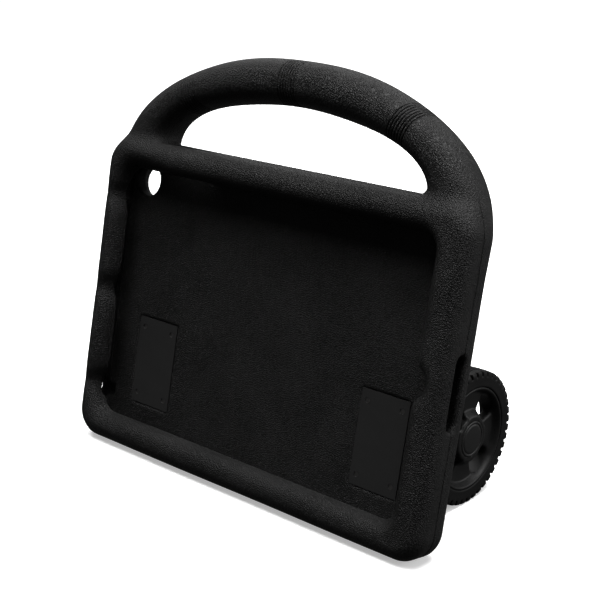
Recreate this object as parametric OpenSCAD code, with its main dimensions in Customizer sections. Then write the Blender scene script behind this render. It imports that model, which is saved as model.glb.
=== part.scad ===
// Foam case with a carry handle for a small landscape tablet, with two
// fold-flat wheel legs on its back. Millimetres, +Z up, front towards -Y.
// The case is drawn in its own plane (x right, y up the screen, z out of the
// screen) and then leaned back onto its bottom edge and its two wheels.

/* [Case body] */
// Width of the body over its two sides
case_w = 218.6; // [214:0.2:224]
// Height of the lower edge below the middle of the screen
case_down = 76.8; // [75:0.2:82]
// Height of the upper bar's top face above the middle of the screen
case_up = 77; // [76:0.5:82]
// Front face in front of the glass
front_z = 8; // [6:0.5:10]
// Back face behind the glass
back_z = 14; // [12.5:0.5:16]
// Corner radius seen from the front
corner_r = 14.2; // [14:0.2:20]
// Rounding of the long outer edges
edge_r = 7; // [5:0.5:8]
// Joint line between the two foam halves, behind the glass
seam_z = 3; // [2:0.5:5]
// Lean of the whole case when it stands
lean = 11.3; // [8:0.05:16]

/* [Tablet pocket and window] */
// Pocket width, a little over the tablet's long side
pocket_w = 204.2; // [203.6:0.1:205]
// Pocket height, a little over the tablet's short side
pocket_h = 135.8; // [135.2:0.1:136.6]
// Pocket depth, from the lip to the floor
pocket_t = 7; // [6.4:0.1:7.4]
// Corner radius of the pocket
pocket_r = 9; // [6:0.5:12]
// Window edge on the right, from the middle
win_right = 91.5; // [88:0.5:95]
// Window edge on the left, from the middle
win_left = 95.6; // [92:0.5:96]
// Window edge at the top, from the middle
win_top = 62.5; // [60:0.5:64]
// Window edge at the bottom, from the middle
win_bottom = 62; // [60:0.5:64]
// Corner radius of the window
win_r = 7; // [4:0.5:10]
// Width of the sloped edge round the window
win_bevel = 4; // [2:0.5:5]
// How far the three left notches reach past the window edge
notch_d = 3; // [1:0.5:4]
// Radius of the notch for the home button
home_r = 6.5; // [6:0.1:8]
// Distance of the home button from the middle
home_x = 90.3; // [89:0.1:91]

/* [Side openings] */
// Length of the charging slot in the right side
port_l = 32.5; // [24:0.5:40]
// Width of the charging slot
port_w = 6.4; // [5:0.1:7]
// Middle of the charging slot below the middle of the screen
port_y = 1; // [0:0.5:3]
// Middle of the charging slot behind the glass
port_z = 2; // [2:0.1:3]
// Length of the opening over the power button
power_l = 18; // [14:1:24]
// Length of the opening over the volume buttons
volume_l = 30; // [24:1:36]
// Width of the openings over the buttons
button_w = 6.6; // [5.8:0.1:7]
// Radius of the headphone opening
jack_r = 4.5; // [3.5:0.1:5]
// Radius of the rear camera opening
camera_r = 8; // [5:0.5:8]

/* [Handle] */
// Rise of the arch above its springing line
arch_rise = 65.2; // [60:0.2:70]
// Height of the springing line above the middle of the screen
arch_y = 60; // [55:1:64]
// Half width of the finger gap
gap_half_w = 78.6; // [70:0.1:80]
// Rise of the finger gap above the body
gap_rise = 27.2; // [24:0.2:34]
// Fullness of the arch's outer line, 2 is a plain ellipse
arch_n = 2.05; // [2:0.05:2.6]
// Fullness of the finger gap's upper line
gap_n = 2.05; // [2:0.05:2.8]
// Depth of the handle from front to back
handle_t = 24; // [20:0.5:26]
// Middle of the handle behind the glass
handle_z = 7.3; // [5:0.1:9]
// Squareness of the handle's section, 2 is a plain ellipse
handle_n = 2.3; // [2:0.1:3]

/* [Wheel legs] */
// Distance of each fold hinge from the middle
hinge_x = 71.5; // [70:0.5:73]
// Fold hinge axis behind the glass
hinge_z = 21; // [20.8:0.1:22]
// Wheel axle behind the glass
axle_z = 58.8; // [56.5:0.1:60]
// Thickness of an arm
arm_t = 5; // [4:0.5:5]
// Width of an arm
arm_w = 16; // [14:0.5:18]
// Radius of the hinge barrels
barrel_r = 3.5; // [3:0.1:3.5]
// Radius of the hinge pins
pin_r = 1.5; // [1.2:0.1:1.8]
// Radius of the stub axles
axle_r = 3; // [2.5:0.1:3.2]

/* [Wheels] */
// Outer radius of a tyre
tyre_r = 32.3; // [30:0.1:32.9]
// Radius where the tyre sits on the wheel
rim_r = 24.6; // [24.6:0.1:26]
// Width of a wheel
wheel_w = 12.1; // [11:0.1:13]
// Radius of the hub cap
cap_r = 8.5; // [8:0.1:9]
// Inner radius of the four openings
hole_in = 10.9; // [10.5:0.1:13]
// Outer radius of the four openings
hole_out = 22.4; // [21:0.1:23]
// Angle that each opening spans
hole_deg = 40; // [35:1:60]
// Angle at which the first opening sits
hole_at = 48; // [0:1:90]
// Number of lugs round each shoulder
lugs = 44; // [30:1:52]

/* [Hidden] */
half_w = case_w / 2;
sl = sin(lean);
cl = cos(lean);
rest_cut = 0.3;
fit = 0.05;
slip = 0.02;
sole_y = -(case_down - edge_r);
sole_z = -(back_z - edge_r);
seat_z = -(cl * sole_y + sl * sole_z - edge_r) - rest_cut;
axle_y = (tyre_r - seat_z + sl * axle_z) / cl;
front_y = sl * sole_y - cl * (front_z - edge_r) - edge_r;
rear_y = sl * axle_y + cl * axle_z + tyre_r;
seat_y = -(front_y + rear_y) / 2;
floor_z = -(pocket_t - 0.4);
lip_z = 0.4;
// fold hinges: plates, knuckles and screws
plate_t = 3;
plate_w = 26;
plate_h = 44;
back_plate_t = 1.8;
screw_dx = 9.5;
screw_dy = 17;
thread_r = 1.25;
knuckle_l = 8;
knuckle_gap = 0.2;
// along each axle, from the wheel's inner face outwards
side_gap = 0.6;
wheel_x = hinge_x + arm_t / 2 + side_gap;
axle_end = 6.7;
shank_r = 2.5;
nut_t = 3;
washer_t = 0.9;
head_t = 1.7;
bush_r = 4.2;
bush_l = 6.8;
// across each wheel
hub_r = 10.4;
web_t = 5.2;
dish_r = 23.4;
recess_r = 7.2;
recess_z = 6.5;
cap_t = 1.5;
shoulder_r = 1.8;
tread_d = 0.7;
lug_w = 1.3;
lug_d = 2.7;
// colours
foam = [0.07, 0.07, 0.08];
plastic = [0.13, 0.13, 0.14];
steel = [0.6, 0.61, 0.63];
rubber = [0.05, 0.05, 0.05];

// ---------- shared helpers ----------

// from the case's own plane to the standing frame
module stand() {
  translate([0, seat_y, seat_z])
    rotate([90 - lean, 0, 0])
      children();
}

// a flat slab with round corners, from exact cylinders and cubes
module slab(x0, x1, y0, y1, r, z0, z1) {
  translate([x0 + r, y0, z0])
    cube([x1 - x0 - 2 * r, y1 - y0, z1 - z0]);
  translate([x0, y0 + r, z0])
    cube([x1 - x0, y1 - y0 - 2 * r, z1 - z0]);
  for (x = [x0 + r, x1 - r], y = [y0 + r, y1 - r])
    translate([x, y, z0])
      cylinder(r = r, h = z1 - z0, $fn = 48);
}

// a slot with round ends, along x or along y, seen from the side
module slot_x(x0, x1, y0, y1, z, w) {
  for (y = [y0 + w / 2, y1 - w / 2])
    translate([x0, y, z])
      rotate([0, 90, 0])
        cylinder(d = w, h = x1 - x0, $fn = 32);
  translate([x0, y0 + w / 2, z - w / 2])
    cube([x1 - x0, y1 - y0 - w, w]);
}

module slot_y(x0, x1, y0, y1, z, w) {
  for (x = [x0 + w / 2, x1 - w / 2])
    translate([x, y0, z])
      rotate([-90, 0, 0])
        cylinder(d = w, h = y1 - y0, $fn = 32);
  translate([x0 + w / 2, y0, z - w / 2])
    cube([x1 - x0 - w, y1 - y0, w]);
}

// ---------- foam shell ----------

module body_block() {
  hull()
    for (x = [-1, 1], y = [-case_down + corner_r, case_up - corner_r])
      for (z = [-back_z + edge_r, front_z - edge_r])
        translate([x * (half_w - corner_r), y, z])
          rotate_extrude($fn = 32)
            translate([corner_r - edge_r, 0])
              circle(r = edge_r, $fn = 32);
}

// outer and inner edge of the arch at an angle round it
function pow_s(v, n) = sign(v) * pow(abs(v), 2 / n);
function arch_out(a) = [(half_w - 0.5) * pow_s(cos(a), arch_n), arch_y + arch_rise * pow_s(sin(a), arch_n)];
function arch_in(a) = [gap_half_w * pow_s(cos(a), gap_n), case_up + gap_rise * pow_s(sin(a), gap_n)];

// one ring of the handle's section between an outer and an inner point
function ring(po, pi, zc, d, sides) =
  let (c = (po + pi) / 2, u = (po - pi) / 2)
  [for (k = [0:sides - 1])
    let (a = 360 * k / sides, s = pow_s(cos(a), handle_n), t = pow_s(sin(a), handle_n))
    [c[0] + u[0] * s, c[1] + u[1] * s, zc + d * t]];

module arch() {
  n = 40;
  sides = 20;
  root = 24;
  d = handle_t / 2;
  zc = -handle_z;
  zr = (front_z - back_z) / 2;
  dr = (front_z + back_z) / 2 - 1.5;
  right = [half_w - 1.2, arch_y - root];
  right_in = [gap_half_w + 4, case_up - root];
  left = [-right[0], right[1]];
  left_in = [-right_in[0], right_in[1]];
  rings = concat(
    [ring(right, right_in, zr, dr, sides)],
    [for (i = [0:n]) ring(arch_out(180 * i / n), arch_in(180 * i / n), zc, d, sides)],
    [ring(left, left_in, zr, dr, sides)]);
  m = len(rings);
  pts = [for (r = rings) each r];
  skin = [for (i = [0:m - 2], k = [0:sides - 1])
    let (a = i * sides + k, b = i * sides + (k + 1) % sides)
    each [[a, b, b + sides], [a, b + sides, a + sides]]];
  cap0 = [for (k = [0:sides - 1]) sides - 1 - k];
  cap1 = [for (k = [0:sides - 1]) (m - 1) * sides + k];
  polyhedron(points = pts, faces = concat(skin, [cap0], [cap1]), convexity = 6);
}

module window_cut() {
  z1 = front_z + 1;
  slab(-win_left, win_right, -win_bottom, win_top, win_r, floor_z, z1);
  for (y = [-49, 0, 48])
    translate([-win_left - notch_d + 9, y, floor_z])
      cylinder(r = 9, h = z1 - floor_z, $fn = 48);
  translate([home_x, 0, floor_z])
    cylinder(r = home_r, h = z1 - floor_z, $fn = 48);
  hull()
    for (s = [0, 1])
      translate([0, 0, front_z - win_bevel + s * (win_bevel + 0.01)])
        slab(-win_left - 0.02 - s * win_bevel * 0.6, win_right + 0.02 + s * win_bevel,
             -win_bottom - 0.02 - s * win_bevel, win_top + 0.02 + s * win_bevel,
             win_r + s * 2, 0, 0.01, $fn = 32);
}

module shell_cuts() {
  window_cut();
  slab(-pocket_w / 2, pocket_w / 2, -pocket_h / 2, pocket_h / 2, pocket_r, floor_z, lip_z);
  slot_x(half_w - 12, half_w + 3, -port_l / 2 - port_y, port_l / 2 - port_y, -port_z, port_w);
  slot_x(-half_w - 3, -half_w + 12, 53 - power_l / 2, 53 + power_l / 2, -3.2, button_w);
  slot_y(-62 - volume_l / 2, -62 + volume_l / 2, pocket_h / 2 - 4, case_up + 2, -3.2, button_w);
  translate([-half_w - 3, -54, -3.2])
    rotate([0, 90, 0])
      cylinder(r = jack_r, h = 15, $fn = 32);
  translate([-92, 57, -back_z - 1])
    cylinder(r = camera_r, h = back_z, $fn = 48);
  for (m = [0, 1])
    mirror([m, 0, 0])
      translate([hinge_x, axle_y, 0]) {
        translate([-plate_w / 2 - 0.1, -plate_h / 2 - 0.1, floor_z - back_plate_t])
          cube([plate_w + 0.2, plate_h + 0.2, back_plate_t + 0.1]);
        for (x = [-1, 1], y = [-1, 1])
          translate([x * screw_dx, y * screw_dy, -back_z - 1])
            cylinder(r = 1.6, h = back_z, $fn = 24);
      }
}

module shell_half(z0, z1) {
  difference() {
    stand()
      intersection() {
        difference() {
          union() {
            body_block();
            arch();
          }
          shell_cuts();
        }
        translate([-150, -150, z0])
          cube([300, 350, z1 - z0]);
      }
    translate([-150, -150, -20])
      cube([300, 300, 20]);
  }
}

module front_shell() {
  color(foam)
    shell_half(-seam_z, 40);
}

module rear_shell() {
  color(1.2 * foam)
    shell_half(-60, -seam_z);
}

// ---------- fold hinges on the back ----------

module side(s) {
  stand()
    mirror([s, 0, 0])
      children();
}

module backing_plate() {
  translate([hinge_x, axle_y, floor_z - back_plate_t])
    difference() {
      translate([-plate_w / 2, -plate_h / 2, 0])
        cube([plate_w, plate_h, back_plate_t]);
      for (x = [-1, 1], y = [-1, 1])
        translate([x * screw_dx, y * screw_dy, -1])
          cylinder(r = thread_r + slip, h = 4, $fn = 24);
    }
}

module hinge_base() {
  zb = -back_z - plate_t;
  translate([hinge_x, axle_y, 0])
    difference() {
      union() {
        slab(-plate_w / 2, plate_w / 2, -plate_h / 2, plate_h / 2, 4, zb, -back_z);
        for (s = [-1, 1])
          translate([0, s * (arm_w / 2 + knuckle_gap + knuckle_l / 2), 0]) {
            translate([0, knuckle_l / 2, -hinge_z])
              rotate([90, 0, 0])
                cylinder(r = barrel_r, h = knuckle_l, $fn = 48);
            translate([-barrel_r, -knuckle_l / 2, -hinge_z])
              cube([2 * barrel_r, knuckle_l, hinge_z - back_z - 1]);
          }
      }
      translate([0, 40, -hinge_z])
        rotate([90, 0, 0])
          cylinder(r = pin_r + slip, h = 80, $fn = 32);
      for (x = [-1, 1], y = [-1, 1])
        translate([x * screw_dx, y * screw_dy, 0]) {
          translate([0, 0, zb - 1])
            cylinder(r = thread_r + 0.1, h = 6, $fn = 24);
          translate([0, 0, zb - 0.01])
            cylinder(r1 = 2.9, r2 = 1.35, h = 1.6, $fn = 32);
        }
    }
}

module hinge_base_screw_set() {
  for (x = [-1, 1], y = [-1, 1])
    translate([hinge_x + x * screw_dx, axle_y + y * screw_dy, -back_z - plate_t])
      difference() {
        union() {
          cylinder(r = thread_r, h = back_z + plate_t + floor_z - 0.3, $fn = 24);
          cylinder(r1 = 2.75, r2 = thread_r, h = 1.55, $fn = 32);
        }
        translate([-2, -0.3, -0.1])
          cube([4, 0.6, 0.8]);
        translate([-0.3, -2, -0.1])
          cube([0.6, 4, 0.8]);
      }
}

module hinge_pin() {
  l = arm_w + 2 * (knuckle_gap + knuckle_l);
  translate([hinge_x, axle_y, -hinge_z])
    rotate([90, 0, 0]) {
      translate([0, 0, -l / 2 - 1])
        cylinder(r = pin_r, h = l + 1.6, $fn = 32);
      translate([0, 0, -l / 2 - 1])
        cylinder(r = pin_r + 1, h = 1, $fn = 32);
    }
}

// ---------- leg ----------

module leg_arm() {
  y0 = axle_y - arm_w / 2;
  difference() {
    union() {
      translate([hinge_x - arm_t / 2, y0, -axle_z])
        cube([arm_t, arm_w, axle_z - hinge_z]);
      translate([hinge_x - arm_t / 2, axle_y, -axle_z])
        rotate([0, 90, 0])
          cylinder(r = arm_w / 2, h = arm_t, $fn = 64);
      translate([hinge_x, y0 + arm_w, -hinge_z])
        rotate([90, 0, 0])
          cylinder(r = barrel_r, h = arm_w, $fn = 48);
      translate([hinge_x, y0 + 1, -hinge_z - 1])
        cube([7, arm_w - 2, hinge_z + 1 - back_z - plate_t - 0.15]);
    }
    translate([hinge_x, y0 + arm_w + 1, -hinge_z])
      rotate([90, 0, 0])
        cylinder(r = pin_r + fit, h = arm_w + 2, $fn = 32);
    translate([hinge_x - arm_t / 2 - 1, axle_y, -axle_z])
      rotate([0, 90, 0])
        cylinder(r = shank_r + slip, h = arm_t + 2, $fn = 32);
    translate([hinge_x - arm_t / 2 - 1, axle_y, 0])
      for (z = [-hinge_z - 9, -axle_z + 11])
        translate([0, 0, z])
          rotate([0, 90, 0])
            cylinder(r = 3.2, h = 2.2, $fn = 32);
    translate([hinge_x - arm_t / 2 - 1, axle_y - 3.2, -axle_z + 11])
      cube([2.2, 6.4, axle_z - hinge_z - 20]);
  }
}

// placed on the axle: z runs outwards along the axle from the wheel's inner face
module on_axle() {
  translate([wheel_x, axle_y, -axle_z])
    rotate([0, 90, 0])
      children();
}

module stub_axle() {
  on_axle()
    difference() {
      union() {
        translate([0, 0, -side_gap])
          cylinder(r = axle_r, h = axle_end + side_gap, $fn = 48);
        translate([0, 0, -side_gap - arm_t - nut_t - 0.6])
          cylinder(r = shank_r, h = arm_t + nut_t + 0.8, $fn = 48);
      }
      translate([0, 0, 0.5])
        cylinder(r = thread_r + slip, h = 8, $fn = 24);
    }
}

module axle_nut() {
  on_axle()
    translate([0, 0, -side_gap - arm_t - nut_t])
      difference() {
        cylinder(r = 4.6, h = nut_t, $fn = 6);
        translate([0, 0, -1])
          cylinder(r = shank_r + slip, h = nut_t + 2, $fn = 32);
      }
}

module axle_washer() {
  on_axle()
    translate([0, 0, axle_end])
      difference() {
        cylinder(r = 5.6, h = washer_t, $fn = 48);
        translate([0, 0, -1])
          cylinder(r = thread_r + 0.1, h = 3, $fn = 24);
      }
}

module axle_screw() {
  on_axle()
    difference() {
      union() {
        translate([0, 0, 1])
          cylinder(r = thread_r, h = axle_end, $fn = 24);
        translate([0, 0, axle_end + washer_t])
          cylinder(r = 2.5, h = head_t, $fn = 32);
      }
      for (a = [0, 90])
        rotate([0, 0, a])
          translate([-1.6, -0.3, axle_end + washer_t + 1])
            cube([3.2, 0.6, 1]);
    }
}

// ---------- wheel ----------

module wheel_bush() {
  on_axle()
    translate([0, 0, -0.3])
      difference() {
        cylinder(r = bush_r, h = bush_l, $fn = 48);
        translate([0, 0, -1])
          cylinder(r = axle_r + fit, h = bush_l + 2, $fn = 48);
      }
}

module wheel_rim() {
  web0 = (wheel_w - web_t) / 2;
  on_axle()
    difference() {
      union() {
        cylinder(r = hub_r, h = wheel_w, $fn = 64);
        translate([0, 0, web0])
          cylinder(r = rim_r - 0.5, h = web_t, $fn = 96);
        difference() {
          cylinder(r = rim_r, h = wheel_w, $fn = 96);
          translate([0, 0, -1])
            cylinder(r = dish_r, h = wheel_w + 2, $fn = 96);
        }
      }
      translate([0, 0, -1])
        cylinder(r = bush_r + slip, h = wheel_w, $fn = 48);
      translate([0, 0, recess_z])
        cylinder(r = recess_r, h = wheel_w, $fn = 64);
      translate([0, 0, wheel_w - cap_t])
        cylinder(r = cap_r + slip, h = 3, $fn = 64);
      for (i = [0:3])
        rotate([0, 0, hole_at + 90 * i - hole_deg / 2])
          rotate_extrude(angle = hole_deg, $fn = 96)
            translate([hole_in, web0 - 1])
              square([hole_out - hole_in, web_t + 2]);
    }
}

module tyre() {
  sh = shoulder_r;
  on_axle()
    difference() {
      rotate_extrude($fn = 128)
        difference() {
          union() {
            translate([rim_r + slip, 0])
              square([tyre_r - sh - rim_r, wheel_w]);
            translate([rim_r + slip, sh])
              square([tyre_r - rim_r - slip, wheel_w - 2 * sh]);
            for (z = [sh, wheel_w - sh])
              translate([tyre_r - sh, z])
                circle(r = sh, $fn = 48);
          }
          for (z = [-2, 0, 2])
            translate([tyre_r - tread_d, wheel_w / 2 + z - 0.35])
              square([2, 0.7]);
        }
      for (i = [0:lugs - 1])
        rotate([0, 0, 360 * i / lugs])
          for (z = [-1, wheel_w + 1 - 2.6])
            translate([tyre_r - lug_d, -lug_w / 2, z])
              cube([4, lug_w, 2.6]);
    }
}

module hub_cap() {
  on_axle() {
    translate([0, 0, wheel_w - cap_t])
      cylinder(r = cap_r, h = cap_t, $fn = 64);
    translate([0, 0, wheel_w - cap_t - 1.4])
      difference() {
        cylinder(r = recess_r - slip, h = 1.5, $fn = 64);
        translate([0, 0, -1])
          cylinder(r = recess_r - 1, h = 2.4, $fn = 64);
      }
  }
}

// ---------- nodes ----------

front_shell();
rear_shell();
color(steel) side(0) backing_plate();  // backing_plate_right
color(steel) side(1) backing_plate();  // backing_plate_left
color(plastic) side(0) hinge_base();  // hinge_base_right
color(plastic) side(1) hinge_base();  // hinge_base_left
color(steel) for (s = [0, 1]) side(s) hinge_base_screw_set();  // hinge_base_screws
color(steel) side(0) hinge_pin();  // hinge_pin_right
color(steel) side(1) hinge_pin();  // hinge_pin_left
color(plastic) side(0) leg_arm();  // leg_arm_right
color(plastic) side(1) leg_arm();  // leg_arm_left
color(steel) side(0) stub_axle();  // stub_axle_right
color(steel) side(1) stub_axle();  // stub_axle_left
color(steel) side(0) axle_nut();  // axle_nut_right
color(steel) side(1) axle_nut();  // axle_nut_left
color(steel) side(0) axle_washer();  // axle_washer_right
color(steel) side(1) axle_washer();  // axle_washer_left
color(steel) side(0) axle_screw();  // axle_screw_right
color(steel) side(1) axle_screw();  // axle_screw_left
color([0.75, 0.74, 0.7]) side(0) wheel_bush();  // wheel_bush_right
color([0.75, 0.74, 0.7]) side(1) wheel_bush();  // wheel_bush_left
color(plastic) side(0) wheel_rim();  // wheel_rim_right
color(plastic) side(1) wheel_rim();  // wheel_rim_left
color(rubber) side(0) tyre();  // tyre_right
color(rubber) side(1) tyre();  // tyre_left
color(plastic) side(0) hub_cap();  // hub_cap_right
color(plastic) side(1) hub_cap();  // hub_cap_left
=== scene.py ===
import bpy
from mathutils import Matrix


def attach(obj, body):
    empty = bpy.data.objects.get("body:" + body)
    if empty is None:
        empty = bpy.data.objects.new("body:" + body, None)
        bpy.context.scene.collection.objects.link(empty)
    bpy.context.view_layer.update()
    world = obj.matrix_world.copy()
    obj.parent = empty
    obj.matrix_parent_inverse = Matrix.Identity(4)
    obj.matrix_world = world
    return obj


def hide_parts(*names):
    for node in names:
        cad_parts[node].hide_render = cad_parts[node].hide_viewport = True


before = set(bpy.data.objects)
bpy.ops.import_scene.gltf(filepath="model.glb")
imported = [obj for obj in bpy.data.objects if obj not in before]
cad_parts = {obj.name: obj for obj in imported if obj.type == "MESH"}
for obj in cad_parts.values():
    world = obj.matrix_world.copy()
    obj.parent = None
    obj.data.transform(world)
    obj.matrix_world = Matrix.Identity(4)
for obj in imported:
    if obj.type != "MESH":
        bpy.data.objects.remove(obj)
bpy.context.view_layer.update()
import math

import bmesh
import bpy
import numpy as np
from mathutils import Matrix, Vector

# ---------------------------------------------------------------- the case's own plane
# x right, y up the screen, z out of the screen, millimetres; the case leans back by LEAN.
LEAN = math.radians(11.3)
SL, CL = math.sin(LEAN), math.cos(LEAN)
HALF_W, DOWN, UP, BACK, FRONT = 109.3, 76.8, 77.0, 14.0, 8.0
CORNER_R, EDGE_R, SEAM = 13.6, 7.0, -3.0
TYRE_R, AXLE_Z = 32.3, 58.8
# the arch outside and the finger gap inside: half width, springing line, rise and fullness
ARCH, GAP = (108.8, 60.0, 65.2, 2.05), (78.6, 77.0, 27.2, 2.05)
SOLE_Y, SOLE_Z = -(DOWN - EDGE_R), -(BACK - EDGE_R)
SEAT_Z = -(CL * SOLE_Y + SL * SOLE_Z - EDGE_R) - 0.3
AXLE_Y = (TYRE_R - SEAT_Z + SL * AXLE_Z) / CL
FRONT_Y = SL * SOLE_Y - CL * (FRONT - EDGE_R) - EDGE_R
REAR_Y = SL * AXLE_Y + CL * AXLE_Z + TYRE_R
SEAT_Y = -(FRONT_Y + REAR_Y) / 2
WHEEL_X, WHEEL_W, RIM_R, HINGE_X = 74.6, 12.1, 24.6, 71.5
# the hub: cap radius and thickness, recess radius and its floor, bush radius, clearance
CAP_R, CAP_T, RECESS_R, RECESS_Z, BUSH_R, SLIP = 8.5, 1.5, 7.2, 6.5, 4.2, 0.02
# the openings stop inside the pocket: at this far to each side, and at this height
WALL_IN, TOP_IN = 98, 64
BUTTON_Z, BUTTON_HALF, BUTTON_ROUND = -3.2, 3.3, 3.2


def stand(p):
    """Points of the case's own plane, in mm, as points of the standing frame, in metres."""
    p = np.asarray(p, float)
    x, y, z = p[..., 0], p[..., 1], p[..., 2]
    return np.stack([x, SL * y - CL * z + SEAT_Y, CL * y + SL * z + SEAT_Z], -1) / 1000


# ---------------------------------------------------------------- distance shapes
def smin(a, b, k):
    h = np.maximum(k - np.abs(a - b), 0) / k
    return np.minimum(a, b) - h * h * k / 4


def smax(a, b, k):
    return -smin(-a, -b, k)


def ramp(a, b, v):
    t = np.clip((v - a) / (b - a), 0, 1)
    return t * t * (3 - 2 * t)


def round_rect(x, y, cx, cy, hx, hy, r):
    qx, qy = np.abs(x - cx) - hx + r, np.abs(y - cy) - hy + r
    return np.minimum(np.maximum(qx, qy), 0) + np.hypot(np.maximum(qx, 0), np.maximum(qy, 0)) - r


def thick(d, z, zc, hz, r):
    a, b = d + r, np.abs(z - zc) - hz + r
    return np.minimum(np.maximum(a, b), 0) + np.hypot(np.maximum(a, 0), np.maximum(b, 0)) - r


def oval(x, y, half, base, rise, n):
    """Distance to an arch whose upper line is a superellipse and whose legs go straight down."""
    u, v = np.abs(x) / half, np.maximum(y - base, 0) / rise
    f = (u**n + v**n + 1e-9) ** (1 / n)
    slope = np.hypot(u ** (n - 1) / half, v ** (n - 1) / rise) / f ** (n - 1)
    return (f - 1) / (slope + 1e-6)


NOTCHES = (48.0, 0.5, -49.0)


def mouths(x, y, z):
    """The side openings and the rear camera's hole: outline, where it stops, depth below the skin, edge.

    The camera's hole runs clear through the root of the handle here, which the CAD's does not.
    """
    port = round_rect(y, z, -1.0, -2.0, 16.25, 3.2, 3.15) - 0.45 * ramp(HALF_W - 2.2, HALF_W, x)
    power = round_rect(y, z, 53, BUTTON_Z, 9, BUTTON_HALF, BUTTON_ROUND)
    jack = np.hypot(y + 54, z - BUTTON_Z) - 4.5
    volume = round_rect(x, z, -62, BUTTON_Z, 15, BUTTON_HALF, BUTTON_ROUND)
    camera = np.hypot(x + 92, y - 57) - 8 - 1.0 * ramp(-12.4, -14.2, z)
    return ((port, WALL_IN - x, HALF_W - x, 1.2),
            (power, x + WALL_IN, HALF_W + x, 1.5),
            (jack, x + WALL_IN, HALF_W + x, 1.5),
            (volume, np.maximum(TOP_IN - y, y - UP - 2), UP - y, 1.5),
            (camera, z + 3, z + BACK, 1.5))


def case(x, y, z):
    outline = round_rect(x, y, 0, (UP - DOWN) / 2, HALF_W, (UP + DOWN) / 2, CORNER_R)
    body = thick(outline, z, (FRONT - BACK) / 2, (FRONT + BACK) / 2, EDGE_R)
    d_out, d_in = oval(x, y, *ARCH), oval(x, y, *GAP)
    w = np.maximum((d_in - d_out) / 2, 7)
    t = ramp(36, 66, y)
    dz, zc = 8.6 + 3.4 * t, -3.3 - 4.0 * t
    n = 2.3
    rho = (np.abs((d_in + d_out) / (2 * w)) ** n + np.abs((z - zc) / dz) ** n) ** (1 / n)
    swell = 0.4 * t * np.sin(np.pi * np.clip(np.abs(x) / 66, 0, 1)) ** 2
    tube = (rho - 1) * np.minimum(w, dz) * 0.96 - swell
    tube = smax(tube, 40 - y, 5)
    side = ramp(99, 107, np.abs(x)) * ramp(80, 66, y)
    d = smin(body, tube + 0.5 * side, 4.6 - 2.4 * side)
    # dents across the left bar at each notch, and the unevenness of moulded foam
    left = ramp(-84, -94, x) * ramp(0, 5, z)
    dent = sum(np.exp(-(((y - c) / 4.6) ** 2)) for c in NOTCHES)
    d = d + left * 1.7 * dent * np.exp(-(((x + 99) / 5.6) ** 2))
    d = d + 0.12 * np.sin(x / 17.3 + 0.6) * np.sin(y / 14.1 + 1.1) * np.sin(z / 9.7 + 0.4)
    # window, whose edge slopes more on the left bar
    notch = sum(np.exp(-(((y - c) / 6.2) ** 2)) for c in NOTCHES)
    xs = x + 3.3 * notch * ramp(-60, -88, x)
    win = round_rect(xs, y, -2.05, 0.25, 93.55, 62.25, 7.5)
    win = smin(win, np.hypot(x - 90.3, y) - 6.4, 2.5)
    win = win - (0.24 + 0.26 * ramp(-60, -90, x)) * np.clip(z - 0.4, 0, 8)
    d = smax(d, -np.maximum(win, -z), 5.2)
    # pocket, with the places of the two backing plates in its floor
    pocket = thick(round_rect(x, y, 0, 0, 102.1, 67.9, 9), z, -3.1, 3.5, 0.6)
    d = smax(d, -pocket, 0.7)
    plate = np.maximum(np.abs(np.abs(x) - HINGE_X) - 13.1, np.abs(y - AXLE_Y) - 22.1)
    d = np.maximum(d, -np.maximum(plate, np.abs(z + 7.45) - 0.95))
    for shape, start, _, soft in mouths(x, y, z):
        d = smax(d, -np.maximum(shape, start), soft)
    # the narrow flat that the case stands on
    return smax(d, -(CL * y + SL * z + SEAT_Z) + 0 * x, 0.5)


HOLE_IN, HOLE_OUT, HOLE_DEG, HOLE_AT = 10.9, 22.4, 40, 48


def rim(x, y, z):
    """x and y across the wheel, z outwards along its axle from its inner face."""
    r = np.hypot(x, y)
    dish = 3.3 * ramp(10.4, 14.0, r) * ramp(23.8, 21.2, r)
    d = smax(r - RIM_R, smax(z - (WHEEL_W - 0.15 - dish), 0.15 + dish - z, 0.6), 0.9)
    a = np.mod(np.arctan2(y, x) - math.radians(HOLE_AT - 45), np.pi / 2) - np.pi / 4
    middle = (HOLE_IN + HOLE_OUT) / 2
    wide = middle * math.radians(HOLE_DEG / 2)
    hole = round_rect(a * middle, r, 0, middle, wide, (HOLE_OUT - HOLE_IN) / 2, 2.4)
    d = smax(d, -hole, 1.5)
    d = np.maximum(d, -np.maximum(r - CAP_R - SLIP, WHEEL_W - CAP_T - z))
    d = np.maximum(d, -np.maximum(r - RECESS_R, RECESS_Z - z))
    return np.maximum(d, -(r - BUSH_R - SLIP) + 0 * z)


# lugs round each side, their depth and length, and the rounding of the tyre's shoulders
LUGS, LUG_DEEP, LUG_LONG, SHOULDER = 44, 2.7, 1.6, 1.8


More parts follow.
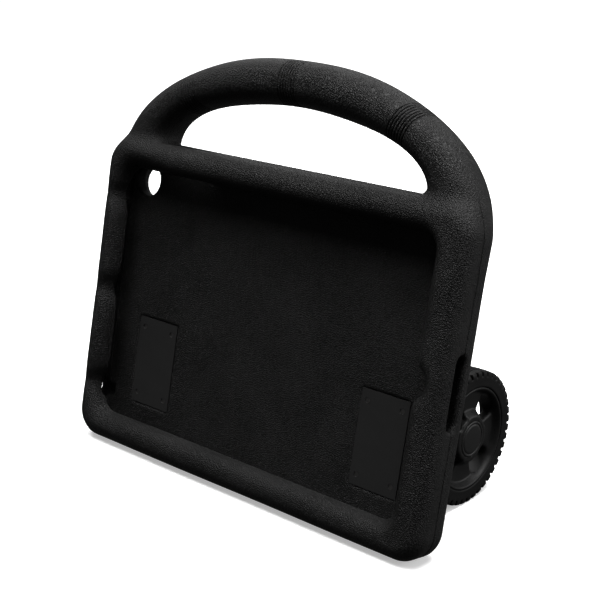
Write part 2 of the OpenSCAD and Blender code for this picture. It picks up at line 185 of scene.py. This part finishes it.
def tyre(x, y, z):
    r = np.hypot(x, y)
    zc = z - WHEEL_W / 2
    side = np.abs(zc)
    crown = 0.25 * (side / 6) ** 2
    wall, middle = (TYRE_R - RIM_R) / 2 - 0.01, (TYRE_R + RIM_R) / 2 + 0.01
    d = thick(np.abs(r - middle) - wall + crown * (r > 29), z, WHEEL_W / 2, WHEEL_W / 2, 0.5)
    past_r, past_side = r - (TYRE_R - SHOULDER), side - (WHEEL_W / 2 - SHOULDER)
    q = np.hypot(np.maximum(past_r, 0), np.maximum(past_side, 0)) - SHOULDER
    d = smax(d, np.where((past_r > 0) & (past_side > 0), q, -9), 0.3)
    for c in (-2, 0, 2):
        groove = np.maximum(np.abs(zc - c) - 0.45, TYRE_R - 0.8 - r)
        d = smax(d, -groove, 0.3)
    pitch = 2 * np.pi / LUGS
    a = np.mod(np.arctan2(y, x) + pitch / 2, pitch) - pitch / 2
    slot = np.maximum(np.abs(a * r) - 0.7, np.maximum(TYRE_R - LUG_DEEP - r, WHEEL_W / 2 - LUG_LONG - side))
    return smax(d, -slot, 0.4)


# ---------------------------------------------------------------- meshing
def surface(shape, low, high, pitch, steps=3):
    """Quads over a distance shape's zero level: one vertex per crossed cell, drawn onto the surface."""
    n = [int(math.ceil((b - a) / pitch)) + 1 for a, b in zip(low, high)]
    ax = [np.float32(a) + np.arange(m, dtype=np.float32) * np.float32(pitch) for a, m in zip(low, n)]
    f = shape(ax[0][:, None, None], ax[1][None, :, None], ax[2][None, None, :]).astype(np.float32)
    inside = f < 0
    corner = [inside[i : n[0] - 1 + i, j : n[1] - 1 + j, k : n[2] - 1 + k]
              for i in (0, 1) for j in (0, 1) for k in (0, 1)]
    some = np.logical_or.reduce(corner)
    every = np.logical_and.reduce(corner)
    cell = some & ~every
    at = np.argwhere(cell)
    index = np.full(cell.shape, -1, np.int32)
    index[cell] = np.arange(len(at))
    total = np.zeros((len(at), 3))
    count = np.zeros(len(at))
    for axis in range(3):
        u, v = [a for a in range(3) if a != axis]
        for su in (0, 1):
            for sv in (0, 1):
                a = at.copy()
                a[:, u] += su
                a[:, v] += sv
                b = a.copy()
                b[:, axis] += 1
                fa, fb = f[tuple(a.T)], f[tuple(b.T)]
                hit = (fa < 0) != (fb < 0)
                t = np.where(hit, fa / np.where(hit, fa - fb, 1), 0)
                p = a.astype(float)
                p[:, axis] += t
                total[hit] += p[hit]
                count[hit] += 1
    v = total / count[:, None] * pitch + np.array(low)
    quads = []
    for axis in range(3):
        u, w = [(1, 2), (2, 0), (0, 1)][axis]
        a = [slice(None)] * 3
        b = [slice(None)] * 3
        a[axis], b[axis] = slice(0, n[axis] - 1), slice(1, n[axis])
        for o in (u, w):
            a[o] = b[o] = slice(1, n[o] - 1)
        one, two = inside[tuple(a)], inside[tuple(b)]
        edge = np.argwhere(one != two)
        out = one[tuple(edge.T)]
        e = edge.copy()
        e[:, u] += 1
        e[:, w] += 1
        ids = []
        for du, dw in ((-1, -1), (0, -1), (0, 0), (-1, 0)):
            c = e.copy()
            c[:, u] += du
            c[:, w] += dw
            ids.append(index[tuple(c.T)])
        q = np.stack(ids, 1)
        q[~out] = q[~out][:, ::-1]
        quads.append(q)
    quads = np.concatenate(quads)
    h = pitch * 0.12
    for _ in range(steps):
        g = np.stack([
            shape(v[:, 0] + dx, v[:, 1] + dy, v[:, 2] + dz) - shape(v[:, 0] - dx, v[:, 1] - dy, v[:, 2] - dz)
            for dx, dy, dz in ((h, 0, 0), (0, h, 0), (0, 0, h))
        ], 1) / (2 * h)
        f0 = shape(v[:, 0], v[:, 1], v[:, 2])
        step = f0[:, None] * g / np.maximum((g * g).sum(1), 0.05)[:, None]
        size = np.linalg.norm(step, axis=1)
        step *= np.minimum(1, 0.35 * pitch / np.maximum(size, 1e-9))[:, None]
        v = v - step
    return v, quads


def mesh_object(name, verts, faces, smooth_angle=50):
    me = bpy.data.meshes.new(name)
    verts, faces = np.asarray(verts, np.float32), np.asarray(faces, np.int32)
    me.vertices.add(len(verts))
    me.vertices.foreach_set("co", verts.ravel())
    k = faces.shape[1]
    me.loops.add(faces.size)
    me.loops.foreach_set("vertex_index", faces.ravel())
    me.polygons.add(len(faces))
    me.polygons.foreach_set("loop_start", np.arange(0, faces.size, k, dtype=np.int32))
    me.polygons.foreach_set("use_smooth", np.ones(len(faces), bool))
    me.update(calc_edges=True)
    me.validate()
    me.set_sharp_from_angle(angle=math.radians(smooth_angle))
    ob = bpy.data.objects.new(name, me)
    bpy.context.scene.collection.objects.link(ob)
    return ob


def refine(ob, near, cuts):
    """Splits the faces near a narrow detail, so that it can be carved as geometry."""
    bm = bmesh.new()
    bm.from_mesh(ob.data)
    faces = [f for f in bm.faces if near(f.calc_center_median())]
    edges = list({e for f in faces for e in f.edges})
    bmesh.ops.subdivide_edges(bm, edges=edges, cuts=cuts, use_grid_fill=True)
    bm.to_mesh(ob.data)
    bm.free()


# ---------------------------------------------------------------- grip ridges round the handle
def band(x):
    """A point on the handle's outer edge and the handle's direction there, in the case's own plane."""
    half, base, rise, n = ARCH
    u = abs(x) / half
    v = (1 - u**n) ** (1 / n)
    across = np.array([math.copysign(u ** (n - 1) / half, x), v ** (n - 1) / rise, 0])
    across /= np.linalg.norm(across)
    return np.array([x, base + rise * v, 0]), np.array([-across[1], across[0], 0])


BANDS = [band(x) for x in (-66.5, -1.0, 67.5)]
RIDGE_PITCH, RIDGE_HALF, RIDGE_HIGH = 1.55, 4.8, 0.6
REACH = 34  # how far round each band's own point the ridges may reach


def along(p):
    """How far a point is from each band, along the handle there and in all."""
    return [((p - o) @ t, np.linalg.norm(p - o, axis=-1)) for o, t in BANDS]


def furrows(v):
    """How deep points lie in the grooves between the grip ridges, from 0 to 1."""
    h = np.zeros(len(v))
    for s, far in along(v):
        edge = ramp(RIDGE_HALF + 0.5, RIDGE_HALF - 0.3, np.abs(s)) * (far < REACH)
        off = np.abs(np.mod(s / RIDGE_PITCH + 0.5, 1) - 0.5) * RIDGE_PITCH
        h += ramp(0.4, 0.06, off) * edge
    return h


def slope(shape, v, h=0.1):
    """Direction in which a distance shape grows fastest, at points."""
    g = np.stack([
        shape(v[:, 0] + dx, v[:, 1] + dy, v[:, 2] + dz) - shape(v[:, 0] - dx, v[:, 1] - dy, v[:, 2] - dz)
        for dx, dy, dz in ((h, 0, 0), (0, h, 0), (0, 0, h))
    ], 1)
    return g / np.maximum(np.linalg.norm(g, axis=1), 1e-9)[:, None]


SEAM_STEPS = ((0.7, 0.0), (0.35, 0.1), (0.01, 0.42))


def cut_at_seam(ob, keep):
    """Keeps the part of the case in front of (1) or behind (-1) the joint line, and closes it there."""
    bm = bmesh.new()
    bm.from_mesh(ob.data)
    for far, _ in SEAM_STEPS:
        last = far == SEAM_STEPS[-1][0]
        bmesh.ops.bisect_plane(bm, geom=bm.verts[:] + bm.edges[:] + bm.faces[:], dist=0.02,
                               plane_co=(0, 0, SEAM + keep * far), plane_no=(0, 0, keep), clear_inner=last)
    rim_edges = [e for e in bm.edges if e.is_boundary]
    bmesh.ops.triangle_fill(bm, edges=rim_edges, normal=(0, 0, -keep))
    bmesh.ops.recalc_face_normals(bm, faces=bm.faces)
    bm.to_mesh(ob.data)
    bm.free()


def shell_piece(name, keep, low, high, pitch):
    ob = mesh_object(name, *surface(case, low, high, pitch))

    def near(c):
        return c.y > 84 and any(abs(s) < RIDGE_HALF + 1.4 and far < REACH for s, far in along(np.array(c)))

    refine(ob, near, 3)
    cut_at_seam(ob, keep)
    me = ob.data
    co = np.zeros(len(me.vertices) * 3, np.float32)
    me.vertices.foreach_get("co", co)
    co = co.reshape(-1, 3).astype(float)
    out = slope(case, co)
    # a fine groove along the joint, which all but vanishes on the handle
    off = np.abs(co[:, 2] - SEAM)
    far, deep = zip(*SEAM_STEPS[::-1])
    groove = np.interp(off, far, deep) * (1 - 0.8 * ramp(72, 84, co[:, 1]))
    furrow = furrows(co) * ramp(0, 0.7, off)
    co = co - out * (RIDGE_HIGH * furrow)[:, None] - out * groove[:, None] * (1, 1, 0)
    me.vertices.foreach_set("co", stand(co).astype(np.float32).ravel())
    # painted shade: the ridge grooves, the joint groove and the cut walls of the openings get a mask that
    # paints them near black and less shiny, standing in for the shade that falls in them
    painted_shade = np.maximum(0.8 * furrow, groove * 1.9)
    for shape, start, depth, _ in mouths(*co.T):
        painted_shade = np.maximum(painted_shade, 0.85 * ramp(0.8, 2.6, depth) * (np.maximum(shape, start) < 0.4))
    me.attributes.new("painted_shade", "FLOAT", "POINT").data.foreach_set("value", painted_shade.astype(np.float32))
    me.update()
    me.polygons.foreach_set("use_smooth", np.ones(len(me.polygons), bool))
    me.set_sharp_from_angle(angle=math.radians(52))
    return ob


def wheel_points(v, side):
    """A wheel's own points as points of the standing frame: z outwards along the axle on its side."""
    v = np.asarray(v, float)
    p = np.stack([(WHEEL_X + v[:, 2]) * side, AXLE_Y + v[:, 0], -AXLE_Z + v[:, 1]], -1)
    return stand(p)


def lathe(profile, steps):
    """Points and quads of a profile of (radius, height) turned about z, closed on the axis."""
    v, f = [], []
    for k in range(steps):
        a = 2 * math.pi * k / steps
        v += [(r * math.cos(a), r * math.sin(a), h) for r, h in profile]
    m = len(profile)
    for k in range(steps):
        for i in range(m - 1):
            a, b = k * m + i, ((k + 1) % steps) * m + i
            f.append((a, b, b + 1, a + 1))
    return np.array(v), np.array(f)


def merge(ob, distance):
    bm = bmesh.new()
    bm.from_mesh(ob.data)
    bmesh.ops.remove_doubles(bm, verts=bm.verts, dist=distance)
    bmesh.ops.recalc_face_normals(bm, faces=bm.faces)
    bm.to_mesh(ob.data)
    bm.free()
    ob.data.polygons.foreach_set("use_smooth", np.ones(len(ob.data.polygons), bool))


# ---------------------------------------------------------------- materials
class Nodes:
    """A material's nodes, made and linked in one line each."""

    def __init__(self, name):
        self.mat = bpy.data.materials.new(name)
        self.mat.use_nodes = True
        self.tree = self.mat.node_tree
        self.shader = next(n for n in self.tree.nodes if n.type == "BSDF_PRINCIPLED")
        self.where = self.add("ShaderNodeTexCoord").outputs["Object"]

    def add(self, kind, **inputs):
        node = self.tree.nodes.new(kind)
        for key, value in inputs.items():
            self.put(node, key, value)
        return node

    def put(self, node, key, value):
        if hasattr(node, key) and key not in [s.name for s in node.inputs]:
            setattr(node, key, value)
            return
        sockets = [s for s in node.inputs if s.name == key and s.enabled] or [node.inputs[key]]
        if isinstance(value, bpy.types.NodeSocket):
            self.tree.links.new(value, sockets[0])
        else:
            sockets[0].default_value = value

    def set(self, **inputs):
        for key, value in inputs.items():
            self.put(self.shader, key.replace("_", " "), value)

    def plane(self, scale=(1, 1, 1), turn=0.0):
        """Object coordinates turned into the case's own plane, then turned in it and stretched."""
        lean = self.add("ShaderNodeMapping", Vector=self.where, Rotation=(-(math.pi / 2 - LEAN), 0, 0))
        spin = self.add("ShaderNodeMapping", Vector=lean.outputs[0], Rotation=(0, 0, turn))
        return self.add("ShaderNodeMapping", Vector=spin.outputs[0], Scale=scale).outputs[0]

    def noise(self, scale, detail=3.0, rough=0.55, vector=None, distort=0.0):
        n = self.add("ShaderNodeTexNoise", Vector=vector or self.where, Scale=scale, Detail=detail,
                     Roughness=rough, Distortion=distort)
        return n.outputs[0]

    def cells(self, scale, vector=None, feature="DISTANCE_TO_EDGE", random=1.0):
        n = self.add("ShaderNodeTexVoronoi", feature=feature)
        self.put(n, "Vector", vector or self.where)
        self.put(n, "Scale", scale)
        self.put(n, "Randomness", random)
        return n.outputs["Distance"]

    def remap(self, value, a, b, low, high, smooth=False):
        n = self.add("ShaderNodeMapRange")
        n.interpolation_type = "SMOOTHSTEP" if smooth else "LINEAR"
        for key, x in (("Value", value), ("From Min", a), ("From Max", b), ("To Min", low), ("To Max", high)):
            self.put(n, key, x)
        return n.outputs[0]

    def math(self, how, a, b=0.0, c=0.0):
        n = self.add("ShaderNodeMath")
        n.operation = how
        for socket, x in zip(n.inputs, (a, b, c)):
            if isinstance(x, bpy.types.NodeSocket):
                self.tree.links.new(x, socket)
            else:
                socket.default_value = x
        return n.outputs[0]

    def mix(self, how, fac, a, b):
        n = self.add("ShaderNodeMix")
        n.data_type = "RGBA"
        n.blend_type = how
        for socket, x in ((n.inputs[0], fac), (n.inputs[6], a), (n.inputs[7], b)):
            if isinstance(x, bpy.types.NodeSocket):
                self.tree.links.new(x, socket)
            else:
                socket.default_value = x
        return n.outputs[2]

    def bump(self, height, distance, strength=1.0, on=None):
        n = self.add("ShaderNodeBump", Height=height, Distance=distance, Strength=strength)
        if on is not None:
            self.tree.links.new(on, n.inputs["Normal"])
        return n.outputs[0]


def grey(v, warm=0.0):
    return (v * (1 + warm), v, v * (1 - warm * 0.7), 1)


def foam(name):
    """Black EVA foam with a moulded skin: fine leather grain on the body, a slanting twill on the handle."""
    m = Nodes(name)
    fine = m.remap(m.cells(850, m.plane((1.0, 1.9, 1.4), turn=0.5), random=0.95), 0.02, 0.34, 0, 1)
    broad = m.remap(m.cells(1050, m.plane(), random=1.0), 0.02, 0.32, 0, 1)
    leather = m.math("ADD", m.math("MULTIPLY", fine, 0.5), m.math("MULTIPLY", broad, 0.5))
    twill = m.cells(1000, m.plane((0.7, 1.6, 1.1), turn=0.9), random=0.85)
    twill = m.remap(twill, 0.03, 0.36, 0, 1)
    height = m.add("ShaderNodeSeparateXYZ", Vector=m.plane()).outputs[1]
    lift = (CL * SEAT_Z + SL * SEAT_Y) / 1000
    up = m.math("MULTIPLY", m.remap(height, 0.080 + lift, 0.094 + lift, 0, 1, smooth=True), 0.85)
    below = m.math("MULTIPLY", leather, m.math("SUBTRACT", 1.0, up))
    grain = m.math("ADD", m.math("MULTIPLY", twill, up), below)
    cloud = m.noise(38, 4, 0.6)
    patch = m.noise(9, 2, 0.5)
    ridge = m.add("ShaderNodeNewGeometry").outputs["Pointiness"]
    worn = m.remap(ridge, 0.52, 0.6, 0, 0.5)
    tone = m.math("ADD", m.remap(cloud, 0.3, 0.7, 0, 0.5), m.math("MULTIPLY", grain, 0.6))
    colour = m.mix("MIX", m.remap(tone, 0.1, 1.0, 0, 1), grey(0.0024), grey(0.0125, 0.01))
    colour = m.mix("MIX", worn, colour, grey(0.017))
    # painted shade from the mesh's mask: near-black colour in the grooves, the joint and the openings' walls
    painted_shade = m.add("ShaderNodeAttribute", attribute_name="painted_shade").outputs["Fac"]
    colour = m.mix("MIX", painted_shade, colour, grey(0.0012))
    rough = m.math("ADD", m.remap(patch, 0.3, 0.7, 0.46, 0.56), m.math("MULTIPLY", grain, -0.08))
    first = m.bump(cloud, 0.00025, 0.5)
    m.set(Base_Color=colour, Roughness=rough, Normal=m.bump(grain, 0.00033, 1.0, first))
    # the painted shade also takes most of the shine off there
    m.set(Specular_IOR_Level=m.remap(painted_shade, 0, 1, 0.15, 0.02))
    return m.mat


def moulded(name, dark, light, rough, grain_scale, grain_height, spec=0.5):
    """A moulded plastic or rubber: spark-eroded grain, faint flow marks and rubbed edges."""
    m = Nodes(name)
    fine = m.noise(grain_scale, 3, 0.6)
    flow = m.noise(45, 3, 0.55, m.plane((1, 3, 1), turn=0.4), distort=0.6)
    ridge = m.add("ShaderNodeNewGeometry").outputs["Pointiness"]
    worn = m.remap(ridge, 0.51, 0.58, 0, 1)
    colour = m.mix("MIX", m.remap(flow, 0.3, 0.7, 0, 1), grey(dark), grey(light))
    colour = m.mix("MIX", m.math("MULTIPLY", worn, 0.55), colour, grey(light * 1.8))
    r = m.math("ADD", m.remap(fine, 0.3, 0.7, rough - 0.05, rough + 0.06), m.math("MULTIPLY", worn, -0.06))
    m.set(Base_Color=colour, Roughness=r, Normal=m.bump(fine, grain_height, 0.8))
    m.set(Specular_IOR_Level=spec)
    return m.mat


def steel(name, value, rough, stretch=(1, 30, 1), tint=0.0):
    """Drawn or turned steel: fine directional marks and slightly cloudy shine."""
    m = Nodes(name)
    marks = m.noise(900, 3, 0.6, m.plane(stretch, turn=0.3))
    cloud = m.noise(160, 2, 0.5)
    colour = m.mix("MIX", marks, grey(value * 0.82, tint), grey(value, tint))
    r = m.remap(marks, 0.3, 0.7, rough - 0.06, rough + 0.08)
    r = m.math("ADD", r, m.remap(cloud, 0.3, 0.7, -0.03, 0.04))
    m.set(Base_Color=colour, Roughness=r, Normal=m.bump(marks, 0.00002, 0.5))
    m.set(Metallic=1.0)
    return m.mat


MATS = {
    "foam": foam("eva_foam"),
    "rim": moulded("wheel_moulding", 0.0046, 0.0078, 0.46, 2600, 0.00004, 0.16),
    "tyre": moulded("tyre_rubber", 0.0034, 0.006, 0.58, 1700, 0.00007, 0.1),
    "cap": moulded("cap_plastic", 0.0075, 0.011, 0.42, 3200, 0.00003, 0.2),
    "arm": moulded("arm_plastic", 0.006, 0.01, 0.42, 2400, 0.00004, 0.3),
    "base": moulded("hinge_plastic", 0.007, 0.011, 0.46, 2100, 0.00005, 0.3),
    "plate": moulded("black_coated_steel", 0.006, 0.01, 0.5, 1500, 0.00006, 0.3),
    "bush": moulded("bush_acetal", 0.42, 0.52, 0.35, 2600, 0.00003),
    "bright": steel("turned_steel", 0.62, 0.24),
    "screw": steel("blackened_steel", 0.16, 0.34, (1, 1, 30), 0.02),
    "nut": steel("plated_steel", 0.5, 0.3, (30, 1, 1), 0.03),
}


def paint(ob, mat):
    ob.data.materials.clear()
    ob.data.materials.append(MATS[mat])
    return ob


# ---------------------------------------------------------------- pieces
FINE = 1.0
front = shell_piece("case_front", 1, (-111, -79, -5), (111, 127, 10.5), 0.8 * FINE)
rear = shell_piece("case_rear", -1, (-111, -79.5, -22), (111, 127, -1.0), 1.12 * FINE)
for ob, node, slot in ((front, "front_shell", "foam_front"), (rear, "rear_shell", "foam_rear")):
    paint(ob, "foam")
    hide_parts(node)
    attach(ob, "case")

rim_v, rim_q = surface(rim, (-26.3, -26.3, -1.3), (26.3, 26.3, 13.4), 0.5 * FINE)
tyre_v, tyre_q = surface(tyre, (-33.6, -33.6, -1.3), (33.6, 33.6, 13.4), 0.42 * FINE)
cap_profile = [(r, WHEEL_W + h) for r, h in (
    (0, 0.15), (3, 0.13), (6, 0.06), (6.9, 0), (7.05, -0.18), (7.35, -0.18), (7.5, 0.02), (7.9, 0.1),
    (8.3, 0.02), (8.47, -0.2), (8.47, -1.45), (7.16, -1.47), (7.16, -2.85), (6.22, -2.85), (6.22, -1.5),
    (0, -1.5))]
cap_v, cap_f = lathe(cap_profile, 96)
for side, word in ((1, "right"), (-1, "left")):
    flip = slice(None, None, -1) if side > 0 else slice(None)
    made = (("wheel_rim", rim_v, rim_q[:, flip], "rim", "rim_plastic"),
            ("tyre", tyre_v, tyre_q[:, flip], "tyre", "tyre_rubber"),
            ("hub_cap", cap_v, cap_f, "cap", "cap_plastic"))
    for node, points, faces, mat, slot in made:
        ob = mesh_object(f"{node}_{word}_detail", wheel_points(points, side), faces)
        if node == "hub_cap":
            merge(ob, 1e-6)
            ob.data.set_sharp_from_angle(angle=math.radians(50))
        paint(ob, mat)
        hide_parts(node + "_" + word)
        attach(ob, "wheel_" + word)

KEPT = {"backing_plate": "plate", "hinge_base": "base", "hinge_pin": "bright", "leg_arm": "arm",
        "stub_axle": "bright", "axle_nut": "nut", "axle_washer": "bright", "axle_screw": "nut",
        "wheel_bush": "bush"}
for node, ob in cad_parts.items():
    kind = node.rsplit("_", 1)[0]
    mat = "screw" if node == "hinge_base_screws" else KEPT.get(kind)
    if mat:
        paint(ob, mat)
        if kind in ("leg_arm", "hinge_base"):
            weld = ob.modifiers.new("weld", "WELD")
            weld.merge_threshold = 1e-5
            soft = ob.modifiers.new("edges", "BEVEL")
            soft.width, soft.segments, soft.limit_method = 0.00045, 3, "ANGLE"
            soft.angle_limit = math.radians(38)
            soft.harden_normals = True

# ---------------------------------------------------------------- camera, light and floor
sc = bpy.context.scene
cam = bpy.data.objects.new("camera", bpy.data.cameras.new("camera"))
sc.collection.objects.link(cam)
sc.camera = cam
cam.data.lens, cam.data.sensor_width = 76.77, 36
cam.location = stand((384.23, 114.43, 447.79))
right, up, ahead = [Vector((v[0], SL * v[1] - CL * v[2], CL * v[1] + SL * v[2])) for v in (
    (0.75657, 0.14320, -0.63804), (-0.21542, 0.97584, -0.03643), (-0.61741, -0.16501, -0.76914))]
cam.rotation_mode = "QUATERNION"
cam.rotation_quaternion = Matrix((right, up, -ahead)).transposed().to_quaternion()
cam.data.clip_start, cam.data.clip_end = 0.01, 20

world = bpy.data.worlds.new("studio")
sc.world = world
world.use_nodes = True
bg = world.node_tree.nodes["Background"]
bg.inputs[0].default_value = (1, 1, 1, 1)
bg.inputs[1].default_value = 0.07
sc.view_settings.view_transform = "Standard"


def softbox(name, at, to, size, watts, spread=180):
    data = bpy.data.lights.new(name, "AREA")
    data.shape, data.size, data.size_y = "RECTANGLE", size[0], size[1]
    data.energy, data.spread = watts, math.radians(spread)
    ob = bpy.data.objects.new(name, data)
    sc.collection.objects.link(ob)
    ob.location = at
    ob.rotation_mode = "QUATERNION"
    ob.rotation_quaternion = (Vector(to) - Vector(at)).to_track_quat("-Z", "Y")
    return ob


CENTRE = (0, 0, 0.1)
softbox("overhead", (0, -0.05, 1.3), (0, -0.05, 0), (1.4, 1.4), 24, 100)
softbox("back_right", (1.2, 0.9, 0.5), CENTRE, (1.3, 0.9), 14)
softbox("back_left", (-1.3, 1.5, 1.0), CENTRE, (1.4, 0.8), 5)

bm = bmesh.new()
bmesh.ops.create_grid(bm, x_segments=1, y_segments=1, size=6)
floor = bpy.data.objects.new("floor", bpy.data.meshes.new("floor"))
bm.to_mesh(floor.data)
bm.free()
sc.collection.objects.link(floor)
fm = Nodes("pale_floor")
fm.set(Base_Color=fm.mix("MIX", fm.noise(3, 2), (0.9, 0.9, 0.9, 1), (0.93, 0.93, 0.93, 1)), Roughness=0.8)
reach = fm.add("ShaderNodeVectorMath", Vector=fm.where)
reach.operation = "LENGTH"
fm.set(Specular_IOR_Level=0.2, Emission_Color=(1, 1, 1, 1),
       Emission_Strength=fm.remap(reach.outputs["Value"], 0.3, 1.1, 0.4, 1.0, smooth=True))
floor.data.materials.append(fm.mat)
# not a physical floor: it throws no light up at the case and glows more with distance, to stay white
floor.visible_diffuse = floor.visible_glossy = floor.visible_shadow = False
